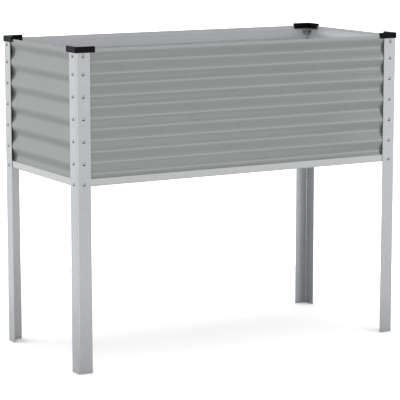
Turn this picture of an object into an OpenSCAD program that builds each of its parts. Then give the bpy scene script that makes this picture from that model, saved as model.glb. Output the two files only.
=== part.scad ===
// Raised planter on legs: a corrugated sheet-steel bed bolted between four angle-iron legs.
// Origin: on the ground, at the centre of the four legs. +X along the length, +Y to the back,
// +Z up. All sizes are in millimetres.

/* [Frame] */
// Length over the outer faces of the legs
frame_length = 1000; // [800:10:1400]
// Width over the outer faces of the legs
frame_width = 450; // [380:10:700]
// Height of the legs, ground to top edge
leg_height = 856; // [850:1:870]

/* [Legs] */
// Width of each flange of the leg angle
leg_flange = 40; // [36:1:60]
// Thickness of the leg steel
leg_t = 2; // [1.5:0.5:3]
// Outer radius of the leg's folded corner
leg_bend = 4; // [3.5:0.5:6]

/* [Corrugated wall panels] */
// Thickness of the wall sheet
sheet_t = 0.8; // [0.6:0.1:1.2]
// Height of one full wave
wave_pitch = 58; // [55:1:60]
// Depth of the wave from crest to valley, on one face
wave_depth = 7; // [6:0.5:8]
// Height of the second crest from the top, where the second bolt row sits
crest_z = 789; // [785:1:795]
// Lower edge of the wall panels
panel_bottom = 509; // [508:1:510]
// Distance from the top of the legs down to the upper edge of the wall panels
panel_drop = 3; // [1:0.5:4]
// Straight segments that make one wave
wave_steps = 18; // [12:2:24]

/* [Bottom rails] */
// Underside of the rails
rail_z = 496; // [495:1:497]
// Height of the rail's upright web
rail_web = 20; // [18:1:24]
// Width of the rail's level flange, which carries the floor
rail_flange = 30; // [28:1:40]
// Thickness of the rail steel
rail_t = 1.5; // [1:0.5:2]

/* [Floor] */
// Thickness of the floor sheet
floor_t = 0.8; // [0.6:0.1:1.2]
// Depth of the folded lip that drops into a cross bar
lip_depth = 3.5; // [2:0.5:3.5]
// Diameter of a drain hole
drain_d = 8; // [5:1:12]
// Drain holes along the length of one floor panel
drain_columns = 4; // [2:1:6]
// Drain holes across the width of one floor panel
drain_rows = 3; // [2:1:4]

/* [Cross bars] */
// Width of a cross bar channel
bar_width = 25; // [20:1:30]
// Height of a cross bar channel
bar_height = 12; // [11:0.5:13]
// Distance from the centre to the middle line of an end bar
end_bar_x = 470; // [460:1:470]

/* [Corner caps] */
// Length of each arm of a cap, from its outer corner
cap_arm = 56; // [50:1:64]
// Full height of a cap
cap_height = 16; // [12:1:16]
// Thickness of the cap's top plate, above the leg
cap_top = 4; // [2:0.5:5]
// Thickness of the cap's skirts
cap_wall = 1.8; // [1.5:0.1:2]
// Distance from the leg's outer face to the cap's innermost face
cap_reach = 6.6; // [6.4:0.1:8]

/* [Bolts and nuts] */
// Thread diameter
bolt_d = 5; // [4:0.5:5]
// Shank length of the bolts through the legs
leg_bolt_length = 16; // [14:1:16]
// Shank length of the bolts through the cross bars
bar_bolt_length = 12; // [10:1:12]
// Diameter of the domed head
head_d = 9.5; // [8:0.5:10]
// Height of the domed head
head_h = 2.75; // [2:0.25:3]
// Width of a nut across its flats
nut_af = 8; // [7:0.5:8]
// Thickness of a nut
nut_h = 4; // [3:0.5:4]
// Height of the top bolt row
top_row_z = 836; // [834:1:838]
// Height of the bottom bolt row, through the rails
bottom_row_z = 503; // [503:1:504]

/* [Hidden] */
$fn = 48;

half_l = frame_length / 2;
half_w = frame_width / 2;
// Small gap that lets parts slide together
slip = 0.2;
// Gaps left at the ends of the long and the short panels and of the short rails
end_gap = 2.5;
corner_gap = 2.2;
rail_gap = 1.5;
hole_d = bolt_d + 0.5;
// Distance of every bolt line from the leg's outer corner
bolt_inset = leg_flange / 2;
// Bolt rows through the wall panels: five on the crests, and one on the slope at the top
crest_rows = [for (i = [0:4]) crest_z - i * wave_pitch];
panel_rows = concat([top_row_z], crest_rows);
// Crest plane of a wall panel, measured inward from the outer face of the legs
wall_plane = leg_t;
wall_depth = wave_depth + sheet_t;
// Half lengths of the long and the short panels, and of the two kinds of rail
long_half = half_l - leg_t - end_gap;
short_half = half_w - leg_t - wall_depth - corner_gap;
rail_half = half_w - leg_t - rail_t - rail_gap;
// A short rail's flange stops where the long rail's flange begins
cope_half = half_w - leg_t - rail_flange - 1;
cope_depth = 2;
// Upper edge of the wall panels, and the top crest, above which the sheet stands straight
panel_top = leg_height - panel_drop;
top_crest = crest_z + wave_pitch;
// Where a nut's face meets the inside of the wall: on a crest, and on the sloping top row
nut_r = nut_af / 2 / cos(30);
seat_gap = 0.1;
crest_seat = inner_depth(crest_z - nut_r) + seat_gap;
slope_seat = inner_depth(top_row_z - nut_r) + seat_gap;
// Three floor panels, which stop short of the walls by floor_inset and meet over a cross bar
shelf_z = rail_z + rail_t;
floor_z = shelf_z + bar_height;
floor_inset = 6.5;
floor_half_l = half_l - floor_inset;
floor_half_w = half_w - floor_inset;
floor_seam = 1;
seam_x = floor_half_l / 3;
// Cross bars: their ends stay clear of the bolts in the legs
bar_half = half_w - 18;
bar_bolt_y = bar_half - 5;
bar_places = [-end_bar_x, -seam_x, seam_x, end_bar_x];
lip_half = bar_half - 17;

// Angle round the wave at height z
function turn_at(z) = 360 * (min(z, top_crest) - crest_z) / wave_pitch;
// Distance of the wall's outer face from its crest plane, and the slope there
function wave(z) = wave_depth / 2 * (1 - cos(turn_at(z)));
function slope(z) = wave_depth * PI / wave_pitch * sin(turn_at(z));
// Distance of the inner face: the sheet measured level grows where it slopes
function inner_depth(z) = wave(z) + sheet_t * sqrt(1 + pow(slope(z), 2));

// ---- shared profiles -------------------------------------------------------------------

// A quarter of a ring in the corner nearest the origin
module bend(r, t) {
    translate([r, r])
        intersection() {
            difference() {
                circle(r);
                circle(r - t);
            }
            translate([-r, -r]) square(r);
        }
}

// Folded angle: one flange along X, one along Y, folded at the origin
module angle_profile(across, up, t, r) {
    translate([r, 0]) square([across - r, t]);
    translate([0, r]) square([t, up - r]);
    bend(r, t);
}

// Channel that opens upward, centred on X
module channel_profile(width, height, t, r) {
    translate([-width / 2, 0]) angle_profile(width / 2, height, t, r);
    translate([width / 2, 0]) mirror([1, 0]) angle_profile(width / 2, height, t, r);
}

// Section of a corrugated sheet: X is the distance inward, Y is the height
module wave_profile(bottom, top) {
    steps = ceil((top - bottom) / wave_pitch * wave_steps);
    heights = [for (i = [0:steps]) bottom + (top - bottom) * i / steps];
    outer_face = [for (z = heights) [wave(z), z]];
    inner_face = [for (i = [steps:-1:0]) [inner_depth(heights[i]), heights[i]]];
    polygon(concat(outer_face, inner_face));
}

// Turns a section into a bar along X, with the section's X pointing inward (+Y)
module run(half_length) {
    translate([-half_length, 0, 0])
        rotate([90, 0, 90])
            linear_extrude(2 * half_length) children();
}

// Puts a piece made for the front onto another side of the frame
module on_side(turn) {
    rotate([0, 0, turn]) children();
}

// Puts a piece made for the front left corner onto any corner
module in_corner(right, back) {
    mirror([right, 0, 0]) mirror([0, back, 0]) children();
}

// Cylinder along +Y, for the holes of the front face
module bore_y(d, x, y, z, depth) {
    translate([x, y, z]) rotate([-90, 0, 0]) cylinder(d = d, h = depth);
}

// ---- fasteners -------------------------------------------------------------------------

// Button-head bolt: the head's underside is at Z = 0 and the shank points up
module bolt(length) {
    dome_r = (pow(head_d / 2, 2) + pow(head_h, 2)) / (2 * head_h);
    socket_d = 3 / cos(30);
    socket_depth = 1.6;
    difference() {
        union() {
            cylinder(d = bolt_d - 0.1, h = length - 0.5);
            translate([0, 0, length - 0.5]) cylinder(d1 = bolt_d - 0.1, d2 = bolt_d - 1.1, h = 0.5);
            intersection() {
                translate([0, 0, dome_r - head_h]) sphere(dome_r);
                translate([0, 0, -head_h]) cylinder(d = 2 * head_d, h = head_h);
            }
        }
        translate([0, 0, -head_h - 1]) cylinder(d = socket_d, h = socket_depth + 1, $fn = 6);
    }
}

// Hexagon nut with chamfered corners, standing on Z = 0, with two flats facing +Y and -Y
module nut() {
    corner_d = nut_af / cos(30);
    chamfer = (corner_d - nut_af) / 2;
    difference() {
        intersection() {
            cylinder(d = corner_d, h = nut_h, $fn = 6);
            union() {
                cylinder(d1 = nut_af, d2 = corner_d, h = chamfer);
                translate([0, 0, chamfer]) cylinder(d = corner_d + 1, h = nut_h - 2 * chamfer);
                translate([0, 0, nut_h - chamfer]) cylinder(d1 = corner_d, d2 = nut_af, h = chamfer);
            }
        }
        translate([0, 0, -1]) cylinder(d = bolt_d + 0.1, h = nut_h + 2);
    }
}

// Bolts through the front face of the front left leg
module face_bolts(x, y) {
    for (z = concat(panel_rows, [bottom_row_z]))
        translate([x, y, z]) rotate([-90, 0, 0]) bolt(leg_bolt_length);
}

// Nuts behind the front face of the front left leg
module face_nuts(x, y) {
    translate([x, y + leg_t + slope_seat, top_row_z]) rotate([-90, 0, 0]) nut();
    for (z = crest_rows)
        translate([x, y + leg_t + crest_seat, z]) rotate([-90, 0, 0]) nut();
    translate([x, y + leg_t + rail_t, bottom_row_z]) rotate([-90, 0, 0]) nut();
}

// Mirrors the front face of the corner onto its left face
module both_faces() {
    translate([-half_l, -half_w, 0]) children();
    translate([-half_l, -half_w, 0]) mirror([1, -1, 0]) children();
}

module leg_bolts(right, back) {
    color("gainsboro")
        in_corner(right, back) both_faces() face_bolts(bolt_inset, 0);
}

module leg_nuts(right, back) {
    color("gainsboro")
        in_corner(right, back) both_faces() face_nuts(bolt_inset, 0);
}

module cross_bar_bolts() {
    color("gainsboro")
        for (x = bar_places, y = [-bar_bolt_y, bar_bolt_y])
            translate([x, y, rail_z]) bolt(bar_bolt_length);
}

module cross_bar_nuts() {
    color("gainsboro")
        for (x = bar_places, y = [-bar_bolt_y, bar_bolt_y])
            translate([x, y, shelf_z + rail_t]) nut();
}

// ---- legs and caps ---------------------------------------------------------------------

// Row of bolt holes in the flange that faces the front
module flange_holes() {
    for (z = concat(panel_rows, [bottom_row_z]))
        bore_y(hole_d, bolt_inset, -1, z, leg_t + 2);
}

module leg(right, back) {
    color("lightgray")
        in_corner(right, back)
            translate([-half_l, -half_w, 0])
                difference() {
                    linear_extrude(leg_height) angle_profile(leg_flange, leg_flange, leg_t, leg_bend);
                    flange_holes();
                    mirror([1, -1, 0]) flange_holes();
                }
}

// Plan of an L-shaped strip round the corner at the origin, with its outer corner rounded
module corner_plan(arm, width, r) {
    difference() {
        union() {
            translate([r, 0]) square([arm - r, arm]);
            translate([0, r]) square([arm, arm - r]);
            translate([r, r]) circle(r);
        }
        translate([width, width]) square(arm);
    }
}

// Push-on cap: a channel that covers the top of the leg and of both wall panels
module cap(right, back) {
    proud = cap_wall + slip;
    skirt = cap_height - cap_top;
    inner_wall = 1.4;
    channel = proud + cap_reach - cap_wall - inner_wall;
    color([0.1, 0.1, 0.1])
        in_corner(right, back)
            translate([-half_l - proud, -half_w - proud, leg_height - skirt])
                difference() {
                    linear_extrude(cap_height) corner_plan(cap_arm, proud + cap_reach, leg_bend);
                    translate([cap_wall, cap_wall, -1])
                        linear_extrude(skirt + 1) corner_plan(cap_arm, channel, leg_bend - cap_wall);
                }
}

// ---- walls and rails -------------------------------------------------------------------

// Wall panel made for the front, whose outer face of the legs is at Y = -out
module wall_panel(out, half_length, bolt_x) {
    color("darkgray")
        difference() {
            translate([0, wall_plane - out, 0]) run(half_length) wave_profile(panel_bottom, panel_top);
            for (x = [-bolt_x, bolt_x], z = panel_rows)
                bore_y(hole_d, x, -out, z, wall_plane + wall_depth + 2);
        }
}

// Bottom rail made for the front, with its level flange pointing inward
module rail(out, half_length, bolt_x) {
    translate([0, leg_t - out, rail_z])
        difference() {
            run(half_length) angle_profile(rail_flange, rail_web, rail_t, 2 * rail_t);
            for (x = [-bolt_x, bolt_x])
                bore_y(hole_d, x, -1, bottom_row_z - rail_z, rail_t + 2);
        }
}

module long_rail(turn) {
    color("lightgray")
        on_side(turn)
            difference() {
                rail(half_w, long_half, half_l - bolt_inset);
                for (x = bar_places)
                    translate([x, -bar_bolt_y, rail_z - 1]) cylinder(d = hole_d, h = rail_t + 2);
            }
}

// The ends of a short rail's flange are cut away round the flanges of the long rails
module short_rail(turn) {
    cut = half_w - cope_half;
    color("lightgray")
        on_side(turn)
            difference() {
                rail(half_l, rail_half, half_w - bolt_inset);
                for (x = [-cope_half - cut, cope_half])
                    translate([x, leg_t - half_l + cope_depth, rail_z - 1])
                        cube([cut, rail_flange, 2 * rail_t + 1]);
            }
}

// ---- floor -----------------------------------------------------------------------------

module cross_bar(x) {
    color("silver")
        translate([x, 0, shelf_z])
            difference() {
                rotate([90, 0, 0])
                    translate([0, 0, -bar_half])
                        linear_extrude(2 * bar_half)
                            channel_profile(bar_width, bar_height, rail_t, 2 * rail_t);
                for (y = [-bar_bolt_y, bar_bolt_y])
                    translate([0, y, -1]) cylinder(d = hole_d, h = rail_t + 2);
            }
}

// Level positions of count things spread evenly between two edges
function spread(from, to, count) = [for (i = [1:count]) from + (to - from) * (i - 0.5) / count];

// Floor sheet from x0 to x1, with a folded lip at each edge that meets another sheet
module floor_panel(x0, x1) {
    color("darkgray")
        difference() {
            union() {
                translate([x0, -floor_half_w, floor_z]) cube([x1 - x0, 2 * floor_half_w, floor_t]);
                if (x0 > -floor_half_l)
                    translate([x0, -lip_half, floor_z - lip_depth])
                        cube([floor_t, 2 * lip_half, lip_depth + floor_t]);
                if (x1 < floor_half_l)
                    translate([x1 - floor_t, -lip_half, floor_z - lip_depth])
                        cube([floor_t, 2 * lip_half, lip_depth + floor_t]);
            }
            for (x = spread(x0, x1, drain_columns), y = spread(-floor_half_w, floor_half_w, drain_rows))
                translate([x, y, floor_z - 1]) cylinder(d = drain_d, h = floor_t + 2);
        }
}

// ---- assembly --------------------------------------------------------------------------

leg(0, 0);  // leg_front_left
leg(1, 0);  // leg_front_right
leg(0, 1);  // leg_back_left
leg(1, 1);  // leg_back_right
cap(0, 0);  // cap_front_left
cap(1, 0);  // cap_front_right
cap(0, 1);  // cap_back_left
cap(1, 1);  // cap_back_right
wall_panel(half_w, long_half, half_l - bolt_inset);  // panel_front
on_side(180) wall_panel(half_w, long_half, half_l - bolt_inset);  // panel_back
on_side(-90) wall_panel(half_l, short_half, half_w - bolt_inset);  // panel_left
on_side(90) wall_panel(half_l, short_half, half_w - bolt_inset);  // panel_right
long_rail(0);  // rail_front
long_rail(180);  // rail_back
short_rail(-90);  // rail_left
short_rail(90);  // rail_right
cross_bar(bar_places[0]);  // cross_bar_1
cross_bar(bar_places[1]);  // cross_bar_2
cross_bar(bar_places[2]);  // cross_bar_3
cross_bar(bar_places[3]);  // cross_bar_4
floor_panel(-floor_half_l, -seam_x - floor_seam / 2);  // floor_panel_left
floor_panel(-seam_x + floor_seam / 2, seam_x - floor_seam / 2);  // floor_panel_centre
floor_panel(seam_x + floor_seam / 2, floor_half_l);  // floor_panel_right
leg_bolts(0, 0);  // bolts_front_left
leg_bolts(1, 0);  // bolts_front_right
leg_bolts(0, 1);  // bolts_back_left
leg_bolts(1, 1);  // bolts_back_right
leg_nuts(0, 0);  // nuts_front_left
leg_nuts(1, 0);  // nuts_front_right
leg_nuts(0, 1);  // nuts_back_left
leg_nuts(1, 1);  // nuts_back_right
cross_bar_bolts();
cross_bar_nuts();
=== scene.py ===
import math

import bmesh
import bpy
from mathutils import Matrix, Vector


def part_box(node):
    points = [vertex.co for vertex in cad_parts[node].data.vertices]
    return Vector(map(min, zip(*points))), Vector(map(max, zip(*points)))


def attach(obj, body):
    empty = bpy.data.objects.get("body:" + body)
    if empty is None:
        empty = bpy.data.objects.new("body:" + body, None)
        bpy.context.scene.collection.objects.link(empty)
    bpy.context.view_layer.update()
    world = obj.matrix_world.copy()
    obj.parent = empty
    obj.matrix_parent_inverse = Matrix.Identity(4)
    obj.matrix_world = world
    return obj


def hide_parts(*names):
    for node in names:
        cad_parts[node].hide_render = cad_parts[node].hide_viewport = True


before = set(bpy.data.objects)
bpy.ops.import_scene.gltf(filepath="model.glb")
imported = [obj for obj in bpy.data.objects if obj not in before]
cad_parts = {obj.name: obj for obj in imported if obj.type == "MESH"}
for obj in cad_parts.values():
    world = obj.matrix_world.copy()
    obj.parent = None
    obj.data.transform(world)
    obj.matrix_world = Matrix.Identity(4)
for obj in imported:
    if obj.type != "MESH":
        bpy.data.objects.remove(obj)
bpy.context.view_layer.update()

# Raised planter on legs. Everything is in metres, in the frame's own axes: +X along the length,
# +Y to the back, +Z up, with the ground at Z = 0. Places come from the boxes of the CAD nodes.

# Folded steel
LEG_STEEL = 0.002
LEG_BEND = 0.004
RAIL_STEEL = 0.0015
RAIL_BEND = 0.003
RAIL_WEB = 0.020
COPE_DEPTH = 0.002
COPE_GAP = 0.001
COPE_REACH = 0.04
SHEARED_EDGE = 0.00025

# Corrugated wall sheet
SHEET = 0.0008
WAVE_PITCH = 0.058
WAVE_DEPTH = 0.007
CREST_HEIGHT = 0.789
TOP_CREST = CREST_HEIGHT + WAVE_PITCH
STEPS_PER_WAVE = 28

# Bolts
BOLT_RADIUS = 0.00245
HOLE_RADIUS = 0.00275
HEAD_RADIUS = 0.00475
HEAD_HEIGHT = 0.00275
SOCKET_RADIUS = 0.0015 / math.cos(math.radians(30))
SOCKET_DEPTH = 0.0016
THREAD_PITCH = 0.0008
THREAD_DEPTH = 0.00035
BOLT_INSET = 0.020
BOLT_ROWS = [0.836] + [CREST_HEIGHT - i * WAVE_PITCH for i in range(5)] + [0.503]
LEG_BOLT_LENGTH = 0.016
BAR_BOLT_LENGTH = 0.012

# Corner caps
CAP_WALL = 0.0018
CAP_INNER_WALL = 0.0014
CAP_TOP = 0.004
CAP_WIDTH = 0.0086
CAP_CORNER = 0.004
CAP_EDGE = 0.0006

CORNERS = ["front_left", "front_right", "back_left", "back_right"]
BAR_NUMBERS = (1, 2, 3, 4)


# ---- mesh helpers ----------------------------------------------------------------------


def prism(outline, low, high, place):
    """A bmesh prism: a closed 2D outline swept from low to high, with place(u, v, w) giving points."""
    bm = bmesh.new()
    ends = [[bm.verts.new(place(u, v, w)) for u, v in outline] for w in (low, high)]
    count = len(outline)
    for i in range(count):
        j = (i + 1) % count
        bm.faces.new((ends[0][i], ends[0][j], ends[1][j], ends[1][i]))
    bm.faces.new(ends[0])
    bm.faces.new(ends[1])
    bmesh.ops.recalc_face_normals(bm, faces=bm.faces)
    return bm


def bevel_sharp(bm, width, segments=2, angle=50):
    """Rounds every edge sharper than the angle, in degrees."""
    limit = math.radians(angle)
    edges = [e for e in bm.edges if e.is_manifold and e.calc_face_angle() > limit]
    bmesh.ops.bevel(
        bm, geom=edges, offset=width, segments=segments, profile=0.5, affect="EDGES", clamp_overlap=True
    )


def add_object(name, bm, smooth_angle=35):
    """Makes an object from a bmesh, smooth except across edges sharper than smooth_angle degrees."""
    bmesh.ops.recalc_face_normals(bm, faces=bm.faces)
    mesh = bpy.data.meshes.new(name)
    bm.to_mesh(mesh)
    bm.free()
    for polygon in mesh.polygons:
        polygon.use_smooth = True
    mesh.set_sharp_from_angle(angle=math.radians(smooth_angle))
    piece = bpy.data.objects.new(name, mesh)
    bpy.context.scene.collection.objects.link(piece)
    flat = piece.modifiers.new("flat_faces", "WEIGHTED_NORMAL")
    flat.keep_sharp = True
    return piece


def cut(bm, cutter):
    """The bmesh with the cutter's volume taken away."""
    pieces = []
    for part in (bm, cutter):
        mesh = bpy.data.meshes.new("boolean")
        part.to_mesh(mesh)
        part.free()
        made = bpy.data.objects.new("boolean", mesh)
        bpy.context.scene.collection.objects.link(made)
        pieces.append(made)
    body, tool = pieces
    step = body.modifiers.new("cut", "BOOLEAN")
    step.object = tool
    step.operation = "DIFFERENCE"
    step.solver = "EXACT"
    depsgraph = bpy.context.evaluated_depsgraph_get()
    result = bmesh.new()
    result.from_mesh(body.evaluated_get(depsgraph).to_mesh())
    for made in pieces:
        mesh = made.data
        bpy.data.objects.remove(made)
        bpy.data.meshes.remove(mesh)
    bmesh.ops.remove_doubles(result, verts=result.verts, dist=1e-6)
    return result


def add_cylinder(bm, centre, axis, radius, length, segments=24):
    """Adds a closed cylinder to a bmesh, centred on a point, along X, Y or Z."""
    quarter = math.pi / 2
    turns = {"X": Matrix.Rotation(quarter, 4, "Y"), "Y": Matrix.Rotation(quarter, 4, "X"), "Z": Matrix()}
    bmesh.ops.create_cone(
        bm,
        cap_ends=True,
        segments=segments,
        radius1=radius,
        radius2=radius,
        depth=length,
        matrix=Matrix.Translation(centre) @ turns[axis],
    )


def add_box(bm, low, high):
    """Adds a closed box to a bmesh."""
    low, high = Vector(low), Vector(high)
    scale = Matrix.Diagonal((*(high - low), 1))
    bmesh.ops.create_cube(bm, size=1, matrix=Matrix.Translation((low + high) / 2) @ scale)


def arc(centre, radius, start, end, steps):
    """Points on a circle from one angle to another, in degrees."""
    angles = [math.radians(start + (end - start) * i / steps) for i in range(steps + 1)]
    return [(centre[0] + radius * math.cos(a), centre[1] + radius * math.sin(a)) for a in angles]


def angle_outline(across, up, thickness, bend):
    """Section of a folded angle, with its outer corner at the origin."""
    centre = (bend, bend)
    outer = arc(centre, bend, 270, 180, 10)
    inner = arc(centre, bend - thickness, 180, 270, 10)
    return [(across, 0)] + outer + [(0, up), (thickness, up)] + inner + [(across, thickness)]


def corner_signs(low, high):
    """+1 or -1 for each of X and Y: which side of the middle a box lies on."""
    return [1 if low[i] + high[i] > 0 else -1 for i in (0, 1)]


def from_corner(low, high):
    """A place function that measures inward from the outer corner of a box, along X and Y."""
    sx, sy = corner_signs(low, high)
    x0 = high[0] if sx > 0 else low[0]
    y0 = high[1] if sy > 0 else low[1]
    return lambda u, v, w: (x0 - sx * u, y0 - sy * v, w)


def side_frame(low, high):
    """For a long thin piece on one side: (axis it runs along, index across, outer face, inward sign)."""
    along = 0 if high[0] - low[0] > high[1] - low[1] else 1
    across = 1 - along
    outward = 1 if low[across] + high[across] > 0 else -1
    outer = high[across] if outward > 0 else low[across]
    return along, across, outer, -outward


def on_side(low, high):
    """A place function for a section (inward, up) swept along a side of the frame."""
    along, across, outer, inward = side_frame(low, high)

    def place(u, v, w):
        point = [0, 0, v]
        point[across] = outer + inward * u
        point[along] = w
        return tuple(point)

    return place


# ---- materials -------------------------------------------------------------------------


def new_material(name):
    material = bpy.data.materials.new(name)
    material.use_nodes = True
    nodes = material.node_tree.nodes
    return material, nodes, material.node_tree.links, nodes["Principled BSDF"]


def node(nodes, kind, **settings):
    made = nodes.new(kind)
    for key, value in settings.items():
        setattr(made, key, value)
    return made


def scaled_coordinates(nodes, links, scale):
    """Object coordinates, in metres, stretched by a scale vector."""
    coordinates = node(nodes, "ShaderNodeTexCoord")
    mapping = node(nodes, "ShaderNodeMapping")
    mapping.inputs["Scale"].default_value = scale
    links.new(coordinates.outputs["Object"], mapping.inputs["Vector"])
    return mapping.outputs["Vector"]


def noise_texture(nodes, links, vector, scale, detail=3, roughness=0.55):
    texture = node(nodes, "ShaderNodeTexNoise")
    texture.inputs["Scale"].default_value = scale
    texture.inputs["Detail"].default_value = detail
    texture.inputs["Roughness"].default_value = roughness
    links.new(vector, texture.inputs["Vector"])
    return texture.outputs["Fac"]


def remap(nodes, links, value, low, high, to_low, to_high, interpolation="LINEAR"):
    """A value between low and high brought between to_low and to_high, and held there beyond."""
    made = node(nodes, "ShaderNodeMapRange", clamp=True, interpolation_type=interpolation)
    for key, number in (("From Min", low), ("From Max", high), ("To Min", to_low), ("To Max", to_high)):
        made.inputs[key].default_value = number
    links.new(value, made.inputs["Value"])
    return made.outputs["Result"]


def math_node(nodes, links, operation, first, second):
    made = node(nodes, "ShaderNodeMath", operation=operation)
    for socket, value in zip(made.inputs, (first, second)):
        if isinstance(value, (int, float)):
            socket.default_value = value
        else:
            links.new(value, socket)
    return made.outputs["Value"]


def tinted(nodes, links, colour, factor):
    """A colour made brighter or darker by a factor that varies over the surface."""
    mix = node(nodes, "ShaderNodeVectorMath", operation="SCALE")
    mix.inputs[0].default_value = colour
    links.new(factor, mix.inputs["Scale"])
    return mix.outputs["Vector"]


def galvanised(name, colour, metallic, roughness, spangle_size, spangle, grain, relief, edge=1.0, painted_underside_light=1.0):
    """Zinc-coated steel: crystal spangle, fine grain, cloudy patches and a slightly uneven surface.

    The spangle's size is in metres; spangle and grain are shares of the tone. Edge is how bright the
    steel is at a glancing angle, and painted_underside_light is painted light: how much lighter the colour
    is made where the surface faces down.
    """
    material, nodes, links, shader = new_material(name)
    vector = scaled_coordinates(nodes, links, (1, 1, 1))

    crystals = node(nodes, "ShaderNodeTexVoronoi", feature="F1", distance="EUCLIDEAN")
    crystals.inputs["Scale"].default_value = 1 / spangle_size
    crystals.inputs["Randomness"].default_value = 1.0
    links.new(vector, crystals.inputs["Vector"])
    crystal_tone = node(nodes, "ShaderNodeSeparateColor")
    links.new(crystals.outputs["Color"], crystal_tone.inputs["Color"])

    fine = noise_texture(nodes, links, vector, 420, detail=2)
    clouds = noise_texture(nodes, links, vector, 9, detail=4)
    spangle_part = remap(nodes, links, crystal_tone.outputs["Red"], 0, 1, 1 - spangle, 1 + spangle)
    grain_part = remap(nodes, links, fine, 0.25, 0.75, 1 - grain, 1 + grain)
    cloud_part = remap(nodes, links, clouds, 0.3, 0.7, 0.98, 1.02)
    tone = math_node(nodes, links, "MULTIPLY", spangle_part, grain_part)
    tone = math_node(nodes, links, "MULTIPLY", tone, cloud_part)
    # Painted light: faces turned down get a lighter colour, standing in for light that does not reach them.
    if painted_underside_light != 1.0:
        facing = node(nodes, "ShaderNodeSeparateXYZ")
        links.new(node(nodes, "ShaderNodeNewGeometry").outputs["Normal"], facing.inputs["Vector"])
        painted_underside_tone = remap(nodes, links, facing.outputs["Z"], -0.30, 0.25, painted_underside_light, 1.0)
        tone = math_node(nodes, links, "MULTIPLY", tone, painted_underside_tone)
    links.new(tinted(nodes, links, colour, tone), shader.inputs["Base Color"])

    gloss = remap(nodes, links, clouds, 0.3, 0.7, roughness - 0.02, roughness + 0.02)
    links.new(gloss, shader.inputs["Roughness"])

    waviness = noise_texture(nodes, links, vector, 70, detail=2)
    height = math_node(nodes, links, "MULTIPLY", waviness, 4)
    height = math_node(nodes, links, "ADD", height, fine)
    bump = node(nodes, "ShaderNodeBump")
    bump.inputs["Strength"].default_value = relief
    bump.inputs["Distance"].default_value = 0.0002
    links.new(height, bump.inputs["Height"])
    links.new(bump.outputs["Normal"], shader.inputs["Normal"])
    shader.inputs["Metallic"].default_value = metallic
    shader.inputs["Specular Tint"].default_value = (edge, edge, edge, 1)
    return material


def bolt_zinc(name, colour, roughness, painted_underside_tone):
    """Bright zinc, with painted shade on the undersides: painted_underside_tone is their colour as a share of
    the colour, from 0 to 1.
    """
    material, nodes, links, shader = new_material(name)
    vector = scaled_coordinates(nodes, links, (1, 1, 1))
    fine = noise_texture(nodes, links, vector, 900, detail=2)
    facing = node(nodes, "ShaderNodeSeparateXYZ")
    links.new(node(nodes, "ShaderNodeNewGeometry").outputs["Normal"], facing.inputs["Vector"])
    # Painted shade: faces turned down are darkened, so each head's lower part looks as if it were in shadow.
    tone = remap(nodes, links, facing.outputs["Z"], -0.34, -0.04, painted_underside_tone, 1.0)
    grain = remap(nodes, links, fine, 0.25, 0.75, 0.94, 1.06)
    tone = math_node(nodes, links, "MULTIPLY", tone, grain)
    links.new(tinted(nodes, links, colour, tone), shader.inputs["Base Color"])
    gloss = remap(nodes, links, fine, 0.25, 0.75, roughness - 0.01, roughness + 0.01)
    links.new(gloss, shader.inputs["Roughness"])
    bump = node(nodes, "ShaderNodeBump")
    bump.inputs["Strength"].default_value = 0.05
    bump.inputs["Distance"].default_value = 0.0001
    links.new(fine, bump.inputs["Height"])
    links.new(bump.outputs["Normal"], shader.inputs["Normal"])
    shader.inputs["Metallic"].default_value = 1.0
    return material


def moulded_plastic(name, colour, roughness):
    """Black injection-moulded plastic with a fine grain."""
    material, nodes, links, shader = new_material(name)
    vector = scaled_coordinates(nodes, links, (1, 1, 1))
    grain = noise_texture(nodes, links, vector, 1500, detail=2)
    wear = noise_texture(nodes, links, vector, 60, detail=4)
    tone = remap(nodes, links, wear, 0.35, 0.75, 0.85, 1.3)
    links.new(tinted(nodes, links, colour, tone), shader.inputs["Base Color"])
    gloss = remap(nodes, links, wear, 0.3, 0.7, roughness - 0.05, roughness + 0.07)
    links.new(gloss, shader.inputs["Roughness"])
    bump = node(nodes, "ShaderNodeBump")
    bump.inputs["Strength"].default_value = 0.25
    bump.inputs["Distance"].default_value = 0.00015
    links.new(grain, bump.inputs["Height"])
    links.new(bump.outputs["Normal"], shader.inputs["Normal"])
    shader.inputs["Specular IOR Level"].default_value = 0.06
    return material


LEG_METAL = galvanised("leg_zinc", (0.285, 0.291, 0.301), 0.60, 0.30, 0.006, 0.025, 0.03, 0.03)
RAIL_METAL = galvanised("rail_zinc", (0.296, 0.301, 0.305), 0.60, 0.30, 0.006, 0.025, 0.03, 0.03)
SHEET_METAL = galvanised("sheet_zinc", (0.202, 0.207, 0.207), 0.50, 0.21, 0.004, 0.012, 0.012, 0.01, edge=0.4)
# Painted light on the sheet's inner face: a lighter, less metallic copy of the sheet's zinc, lighter still
# where it faces down.
INNER_METAL = galvanised(
    "sheet_inside_zinc", (0.33, 0.335, 0.348), 0.30, 0.35, 0.004, 0.012, 0.012, 0.01, edge=0.6, painted_underside_light=1.85
)
FLOOR_METAL = galvanised("floor_zinc", (0.25, 0.26, 0.26), 0.6, 0.34, 0.009, 0.05, 0.03, 0.05)
BAR_METAL = galvanised("bar_zinc", (0.28, 0.29, 0.30), 0.6, 0.34, 0.007, 0.05, 0.04, 0.05)
# Painted shade under the bolt heads and nuts: their down-facing parts keep 0.10, 0.45 and 0.9 of the colour.
BOLT_METAL = bolt_zinc("bolt_zinc", (0.30, 0.305, 0.315), 0.28, 0.10)
NUT_METAL = bolt_zinc("nut_zinc", (0.34, 0.345, 0.355), 0.28, 0.45)
BAR_BOLT_METAL = bolt_zinc("bar_bolt_zinc", (0.34, 0.345, 0.355), 0.28, 0.9)
CAP_PLASTIC = moulded_plastic("cap_plastic", (0.002, 0.002, 0.0023), 0.5)


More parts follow.
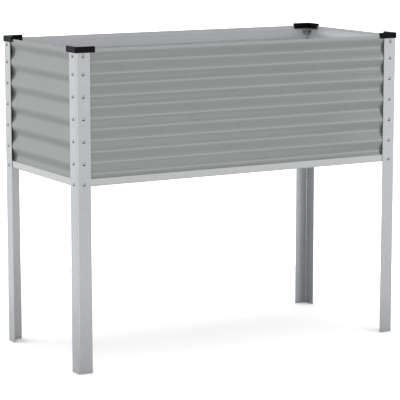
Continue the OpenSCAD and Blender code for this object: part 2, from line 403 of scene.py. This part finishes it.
def finish_piece(piece, material, slot, *nodes):
    """Gives a piece its material and ties it to the frame in place of its CAD nodes."""
    piece.data.materials.clear()
    piece.data.materials.append(material)
    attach(piece, "root")
    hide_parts(*nodes)


def paint_node(name, material):
    """Gives a CAD node that is shown as it is a better material."""
    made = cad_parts[name]
    for slot in made.material_slots:
        slot.material = material


# ---- legs, rails and caps --------------------------------------------------------------


def bolt_places(along):
    """The two places of the corner bolts, along X (0) or Y (1)."""
    bolt_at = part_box("leg_back_right")[1][along] - BOLT_INSET
    return -bolt_at, bolt_at


def bar_bolt_places():
    """(x, y) of the bolts through the ends of the cross bars."""
    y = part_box("cross_bar_bolts")[1][1] - HEAD_RADIUS
    places = []
    for number in BAR_NUMBERS:
        low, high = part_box("cross_bar_%d" % number)
        places += [((low[0] + high[0]) / 2, side) for side in (-y, y)]
    return places


def make_leg(corner):
    low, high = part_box("leg_" + corner)
    place = from_corner(low, high)
    width = high[0] - low[0]
    bm = prism(angle_outline(width, width, LEG_STEEL, LEG_BEND), low[2], high[2], place)
    bevel_sharp(bm, SHEARED_EDGE)
    holes = bmesh.new()
    for z in BOLT_ROWS:
        add_cylinder(holes, place(BOLT_INSET, LEG_STEEL / 2, z), "Y", HOLE_RADIUS, 3 * LEG_STEEL)
        add_cylinder(holes, place(LEG_STEEL / 2, BOLT_INSET, z), "X", HOLE_RADIUS, 3 * LEG_STEEL)
    leg = add_object("leg_" + corner + "_steel", cut(bm, holes))
    finish_piece(leg, LEG_METAL, "galvanised_leg", "leg_" + corner)


def make_rail(side):
    name = "rail_" + side
    low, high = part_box(name)
    along, across = side_frame(low, high)[:2]
    flange = high[across] - low[across]
    outline = [(u, low[2] + v) for u, v in angle_outline(flange, RAIL_WEB, RAIL_STEEL, RAIL_BEND)]
    place = on_side(low, high)
    bm = prism(outline, low[along], high[along], place)
    bevel_sharp(bm, SHEARED_EDGE)
    cutter = bmesh.new()
    axis = "XY"[across]
    for w in bolt_places(along):
        add_cylinder(cutter, place(0, BOLT_ROWS[-1], w), axis, HOLE_RADIUS, 4 * RAIL_STEEL)
    if along == 0:
        cut_bar_holes(cutter, low[2])
    else:
        cope_ends(cutter, place, low, high)
    rail = add_object(name + "_steel", cut(bm, cutter))
    finish_piece(rail, RAIL_METAL, "galvanised_rail", name)


def cut_bar_holes(cutter, z):
    """Holes in a long rail's flange for the cross bar bolts."""
    for x, y in bar_bolt_places():
        add_cylinder(cutter, (x, y, z), "Z", HOLE_RADIUS, 4 * RAIL_STEEL)


def cope_ends(cutter, place, low, high):
    """Boxes that notch a short rail's flange round the flanges of the long rails."""
    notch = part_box("rail_back")[0][1] - COPE_GAP
    flange = high[0] - low[0]
    for near, far in ((notch, notch + COPE_REACH), (-notch - COPE_REACH, -notch)):
        a = place(COPE_DEPTH, low[2] - COPE_GAP, near)
        b = place(flange + COPE_GAP, low[2] + 2 * RAIL_STEEL + 0.0002, far)
        add_box(cutter, [min(p) for p in zip(a, b)], [max(p) for p in zip(a, b)])


def corner_outline(arm, width, radius, inset=0.0):
    """L-shaped plan round the corner at the origin, moved in by inset, with a rounded outer corner."""
    start, end, inner = inset, arm, inset + width
    rounding = arc((start + radius, start + radius), radius, 270, 180, 8)
    return [(end, start)] + rounding + [(start, end), (inner, end), (inner, inner), (end, inner)]


def make_cap(corner):
    name = "cap_" + corner
    low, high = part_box(name)
    place = from_corner(low, high)
    arm = high[0] - low[0]
    channel = CAP_WIDTH - CAP_WALL - CAP_INNER_WALL
    bm = prism(corner_outline(arm, CAP_WIDTH, CAP_CORNER), low[2], high[2], place)
    groove = corner_outline(arm + 0.01, channel, CAP_CORNER - CAP_WALL, CAP_WALL)
    bm = cut(bm, prism(groove, low[2] - 0.01, high[2] - CAP_TOP, place))
    bevel_sharp(bm, CAP_EDGE, segments=3)
    cap = add_object(name + "_moulding", bm)
    finish_piece(cap, CAP_PLASTIC, "black_plastic", name)


# ---- corrugated walls ------------------------------------------------------------------


def wave(z):
    """Distance of the sheet's outer face from its crest plane at height z, and its slope."""
    turn = 2 * math.pi * (min(z, TOP_CREST) - CREST_HEIGHT) / WAVE_PITCH
    depth = WAVE_DEPTH / 2 * (1 - math.cos(turn))
    slope = WAVE_DEPTH * math.pi / WAVE_PITCH * math.sin(turn)
    return depth, slope


def sheet_outline(bottom, top):
    """Section of the wall sheet, outer face first, with its cut edges rounded off."""
    steps = round((top - bottom) / WAVE_PITCH * STEPS_PER_WAVE)
    ease = 0.2 * SHEET
    span = top - bottom - 2 * ease
    heights = [bottom] + [bottom + ease + span * i / steps for i in range(steps + 1)] + [top]
    outer, inner = [], []
    for i, z in enumerate(heights):
        depth, slope = wave(z)
        level = SHEET * math.sqrt(1 + slope * slope)
        edge = ease if i in (0, len(heights) - 1) else 0
        outer.append((depth + edge, z))
        inner.append((depth + level - edge, z))
    return outer + inner[::-1]


def make_wall(side):
    name = "panel_" + side
    low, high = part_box(name)
    along, across, _, inward = side_frame(low, high)
    place = on_side(low, high)
    bm = prism(sheet_outline(low[2], high[2]), low[along], high[along], place)
    holes = bmesh.new()
    for w in bolt_places(along):
        for z in BOLT_ROWS[:-1]:
            add_cylinder(holes, place(WAVE_DEPTH / 2, z, w), "XY"[across], HOLE_RADIUS, 3 * WAVE_DEPTH)
    wall = add_object(name + "_sheet", cut(bm, holes), smooth_angle=40)
    finish_piece(wall, SHEET_METAL, "corrugated_sheet", name)
    # Faces turned inward get the lighter inner copy of the zinc, which is painted light.
    wall.data.materials.append(INNER_METAL)
    for polygon in wall.data.polygons:
        if polygon.normal[across] * inward > 0.5:
            polygon.material_index = 1


# ---- bolts -----------------------------------------------------------------------------


def bolt_profile(length):
    """Half section of a button-head bolt from the socket's mouth to the shank's end: (radius, height)."""
    dome = (HEAD_RADIUS ** 2 + HEAD_HEIGHT ** 2) / (2 * HEAD_HEIGHT)
    steps = 7
    mouth = SOCKET_RADIUS * 1.12
    top = HEAD_HEIGHT - (dome - math.sqrt(dome * dome - mouth * mouth))
    points = []
    for i in range(steps + 1):
        r = mouth + (HEAD_RADIUS * 0.985 - mouth) * i / steps
        points.append((r, -(HEAD_HEIGHT - dome + math.sqrt(dome * dome - r * r))))
    points.append((HEAD_RADIUS, -0.0002))
    points.append((HEAD_RADIUS * 0.985, 0.0))
    points.append((BOLT_RADIUS, 0.0))
    turns = int((length - 0.001) / THREAD_PITCH)
    for i in range(turns):
        z = (i + 0.5) * THREAD_PITCH
        points.append((BOLT_RADIUS, z - 0.25 * THREAD_PITCH))
        points.append((BOLT_RADIUS - THREAD_DEPTH, z + 0.1 * THREAD_PITCH))
        points.append((BOLT_RADIUS, z + 0.45 * THREAD_PITCH))
    points.append((BOLT_RADIUS, length - 0.0005))
    points.append((BOLT_RADIUS - 0.0005, length))
    return points, -top


def add_bolt(bm, matrix, length, segments=24):
    """Adds one bolt to a bmesh: its head's underside at the matrix's origin, its shank along +Z."""
    points, mouth_z = bolt_profile(length)
    rings = []
    for r, z in points:
        ring = []
        for k in range(segments):
            a = 2 * math.pi * k / segments
            ring.append(bm.verts.new(matrix @ Vector((r * math.cos(a), r * math.sin(a), z))))
        rings.append(ring)
    socket = []
    for z in (mouth_z, mouth_z + SOCKET_DEPTH):
        ring = []
        for k in range(segments):
            a = 2 * math.pi * k / segments
            sector = (a + math.pi / 6) % (math.pi / 3) - math.pi / 6
            r = SOCKET_RADIUS * math.cos(math.pi / 6) / math.cos(sector)
            ring.append(bm.verts.new(matrix @ Vector((r * math.cos(a), r * math.sin(a), z))))
        socket.append(ring)
    chain = [socket[1], socket[0]] + rings
    for first, second in zip(chain, chain[1:]):
        for k in range(segments):
            j = (k + 1) % segments
            bm.faces.new((first[k], first[j], second[j], second[k]))
    bm.faces.new(socket[1])
    bm.faces.new(rings[-1])


def face_matrix(point, axis, direction):
    """Turns a bolt along +Z to point along an axis of the frame, in a direction of +1 or -1."""
    target = Vector([direction if name == axis else 0 for name in "XYZ"])
    return Matrix.Translation(point) @ target.to_track_quat("Z", "Y").to_matrix().to_4x4()


def make_leg_bolts(corner):
    low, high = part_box("leg_" + corner)
    sx, sy = corner_signs(low, high)
    place = from_corner(low, high)
    bm = bmesh.new()
    for z in BOLT_ROWS:
        add_bolt(bm, face_matrix(place(BOLT_INSET, 0, z), "Y", -sy), LEG_BOLT_LENGTH)
        add_bolt(bm, face_matrix(place(0, BOLT_INSET, z), "X", -sx), LEG_BOLT_LENGTH)
    bolts = add_object("bolts_" + corner + "_zinc", bm, smooth_angle=40)
    finish_piece(bolts, BOLT_METAL, "zinc_fastener", "bolts_" + corner)


def make_bar_bolts():
    head_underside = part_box("cross_bar_bolts")[0][2] + HEAD_HEIGHT
    bm = bmesh.new()
    for x, y in bar_bolt_places():
        add_bolt(bm, face_matrix((x, y, head_underside), "Z", 1), BAR_BOLT_LENGTH)
    bolts = add_object("cross_bar_bolts_zinc", bm, smooth_angle=40)
    finish_piece(bolts, BAR_BOLT_METAL, "zinc_fastener", "cross_bar_bolts")


# ---- stage -----------------------------------------------------------------------------

CAMERA_AZIMUTH = -29.83
CAMERA_ELEVATION = 9.40
CAMERA_DISTANCE = 5.318
CAMERA_AIM = (-0.006, 0.0, 0.392)
CAMERA_LENS = 169.8

FLOOR_RADIUS = 1.05
FLOOR_TONE = 0.93


def make_floor():
    bm = bmesh.new()
    bmesh.ops.create_circle(bm, cap_ends=True, segments=128, radius=FLOOR_RADIUS)
    floor = add_object("studio_floor", bm)
    material, _, _, shader = new_material("studio_floor")
    shader.inputs["Base Color"].default_value = (FLOOR_TONE, FLOOR_TONE, FLOOR_TONE, 1)
    shader.inputs["Roughness"].default_value = 0.9
    shader.inputs["Specular IOR Level"].default_value = 0.1
    floor.data.materials.append(material)


# World. Heights are the Z of a unit direction, and reaches are cosines of the angle to a direction.
ABOVE_LEVEL = 1.10
BELOW_LEVEL = 1.03
SKY_HEIGHTS = (-0.1, 0.1)
HORIZON_BOOST = 0.97
HORIZON_CENTRE = -0.08
HORIZON_WIDTH = 0.30
SIDE_DIRECTION = (-0.50, 0.865, 0.0)
SIDE_REACH = (0.2, 0.8)
SIDE_HEIGHTS = (-0.42, -0.12)
SIDE_HIGH = 1.93
SIDE_LOW = 1.16
FRONT_DIRECTION = (-0.49, -0.856, -0.16)
FRONT_REACH = (0.8, 0.97)
FRONT_BOOST = 1.3

# Lights: place, target, width, height, power in watts
TOP_SOFTBOX = ((0.0, -0.3, 4.0), (0, 0, 0.4), 3.5, 3.5, 50)
RIGHT_STRIP = ((1.62, -1.45, 0.75), (0.45, -0.2, 0.65), 0.5, 1.6, 1.4)


def smooth_remap(nodes, links, value, low, high, to_low, to_high):
    """As remap, easing in and out."""
    return remap(nodes, links, value, low, high, to_low, to_high, "SMOOTHSTEP")


def towards(nodes, links, direction, target):
    """Cosine of the angle between the world direction and a target direction."""
    made = node(nodes, "ShaderNodeVectorMath", operation="DOT_PRODUCT")
    links.new(direction, made.inputs[0])
    made.inputs[1].default_value = Vector(target).normalized()
    return made.outputs["Value"]


def make_world():
    """A white studio: a brighter band round the horizon, a bright patch low at the front left, and a
    plain wall at the back left that gets brighter upwards."""
    world = bpy.data.worlds.new("studio")
    bpy.context.scene.world = world
    world.use_nodes = True
    nodes, links = world.node_tree.nodes, world.node_tree.links
    background = nodes["Background"]
    background.inputs["Color"].default_value = (1, 1, 1, 1)
    direction = node(nodes, "ShaderNodeTexCoord").outputs["Generated"]
    parts = node(nodes, "ShaderNodeSeparateXYZ")
    links.new(direction, parts.inputs["Vector"])
    up = parts.outputs["Z"]

    sky = remap(nodes, links, up, *SKY_HEIGHTS, BELOW_LEVEL, ABOVE_LEVEL)
    height = math_node(nodes, links, "SUBTRACT", up, HORIZON_CENTRE)
    height = math_node(nodes, links, "ABSOLUTE", height, 0)
    band = smooth_remap(nodes, links, height, 0, HORIZON_WIDTH, HORIZON_BOOST, 0)
    facing_front = towards(nodes, links, direction, FRONT_DIRECTION)
    front = smooth_remap(nodes, links, facing_front, *FRONT_REACH, 0, FRONT_BOOST)
    room = math_node(nodes, links, "ADD", math_node(nodes, links, "ADD", sky, band), front)

    side = smooth_remap(nodes, links, up, *SIDE_HEIGHTS, SIDE_LOW, SIDE_HIGH)
    facing_side = towards(nodes, links, direction, SIDE_DIRECTION)
    share = smooth_remap(nodes, links, facing_side, *SIDE_REACH, 0, 1)
    rest = math_node(nodes, links, "SUBTRACT", 1, share)
    level = math_node(
        nodes,
        links,
        "ADD",
        math_node(nodes, links, "MULTIPLY", room, rest),
        math_node(nodes, links, "MULTIPLY", side, share),
    )
    links.new(level, background.inputs["Strength"])


def area_light(name, location, target, width, height, power):
    data = bpy.data.lights.new(name, "AREA")
    data.shape = "RECTANGLE"
    data.size = width
    data.size_y = height
    data.energy = power
    light = bpy.data.objects.new(name, data)
    light.location = location
    light.rotation_mode = "QUATERNION"
    light.rotation_quaternion = (Vector(target) - Vector(location)).to_track_quat("-Z", "Y")
    bpy.context.scene.collection.objects.link(light)


def make_camera():
    a, e = math.radians(CAMERA_AZIMUTH), math.radians(CAMERA_ELEVATION)
    back = Vector((math.sin(a) * math.cos(e), -math.cos(a) * math.cos(e), math.sin(e)))
    data = bpy.data.cameras.new("camera")
    data.lens = CAMERA_LENS
    data.clip_end = 100
    camera = bpy.data.objects.new("camera", data)
    camera.location = Vector(CAMERA_AIM) + back * CAMERA_DISTANCE
    camera.rotation_mode = "QUATERNION"
    camera.rotation_quaternion = (-back).to_track_quat("-Z", "Y")
    bpy.context.scene.collection.objects.link(camera)
    bpy.context.scene.camera = camera


# ---- assembly --------------------------------------------------------------------------

make_camera()
for corner_name in CORNERS:
    make_leg(corner_name)
    make_cap(corner_name)
    make_leg_bolts(corner_name)
    paint_node("nuts_" + corner_name, NUT_METAL)
for side_name in ("front", "back", "left", "right"):
    make_rail(side_name)
    make_wall(side_name)
make_bar_bolts()
paint_node("cross_bar_nuts", NUT_METAL)
for bar_number in BAR_NUMBERS:
    paint_node("cross_bar_%d" % bar_number, BAR_METAL)
for part in ("left", "centre", "right"):
    paint_node("floor_panel_" + part, FLOOR_METAL)

make_floor()
make_world()
area_light("top_softbox", *TOP_SOFTBOX)
area_light("right_strip", *RIGHT_STRIP)
bpy.context.scene.view_settings.view_transform = "Standard"
